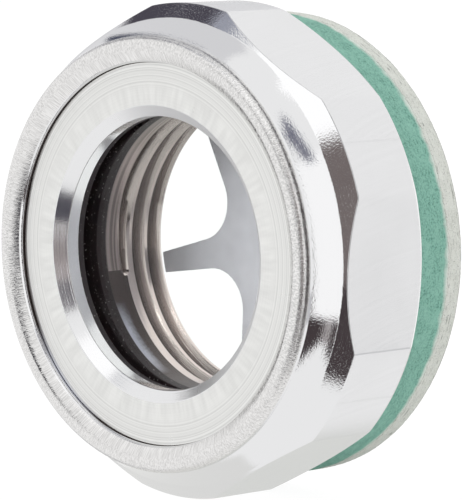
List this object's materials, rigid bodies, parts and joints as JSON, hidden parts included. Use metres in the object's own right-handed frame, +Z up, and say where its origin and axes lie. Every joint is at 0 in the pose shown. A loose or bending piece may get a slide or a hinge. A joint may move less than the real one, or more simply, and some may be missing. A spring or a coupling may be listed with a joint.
{
  "type": "sight glass",
  "caption": "Round window in a hexagon metal body with a rolled front lip, an inner pipe thread, a star reflector behind the glass and flat sealing rings at the rear.",
  "frame": {"origin": "on the thread's axis, in the plane that the rear sealing ring seats on", "axes": "+Y along the thread's axis, out of the rear mouth and into what the part is screwed to; the window faces -Y; +Z is up as pictured"},
  "size_m": [0.0508, 0.0219, 0.0524],
  "materials": {
    "turned_aluminium": "bright turned, flats milled, lip rolled",
    "faced_aluminium": "bright, faced on a lathe",
    "grey_seal": "matte, dark grey",
    "black_rubber": "satin, black",
    "clear_glass": "clear, polished",
    "anodised_sheet": "matte, lilac grey",
    "green_fibre": "compressed fibre, matte, green",
    "pale_fibre": "compressed fibre, matte, pale and speckled"
  },
  "bodies": {
    "root": {"body": "turned_aluminium", "clamp_ring": "faced_aluminium", "front_seal": "grey_seal", "glass_disc": "clear_glass", "rear_seal": "black_rubber", "reflector": "anodised_sheet", "green_sealing_ring": "green_fibre", "pale_fibre_ring": "pale_fibre"}
  },
  "joints": []
}
